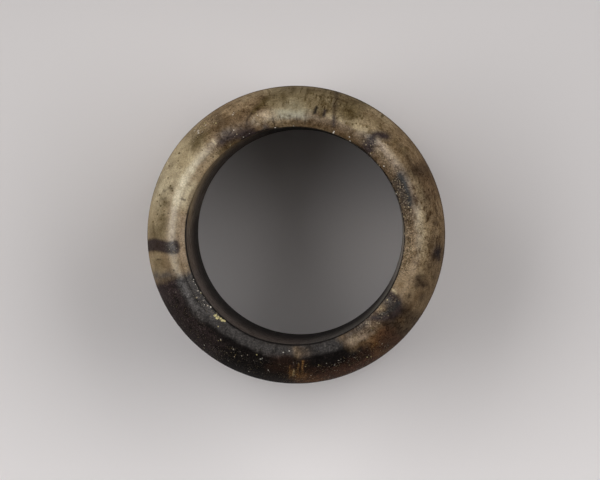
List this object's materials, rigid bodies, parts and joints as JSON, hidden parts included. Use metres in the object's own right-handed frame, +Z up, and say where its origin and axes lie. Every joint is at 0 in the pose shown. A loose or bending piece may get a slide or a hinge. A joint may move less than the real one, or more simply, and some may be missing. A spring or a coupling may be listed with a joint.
{
  "type": "jade thumb ring",
  "caption": "Plain cylindrical archer's thumb ring of mottled jade, with a wide straight bore, a rounded shoulder and lip at the upper end and a flat lower end.",
  "frame": {"origin": "centre of the flat lower end, on the axis of the bore", "axes": "+Z up the axis of the bore to the rounded end; +X to the right and +Y to the top of the picture, which looks down the bore"},
  "size_m": [0.031, 0.031, 0.0255],
  "materials": {
    "jade": "soft waxy polish, mottled grey-green, tan, brown and black"
  },
  "bodies": {
    "root": {"thumb_ring": "jade"}
  },
  "joints": []
}
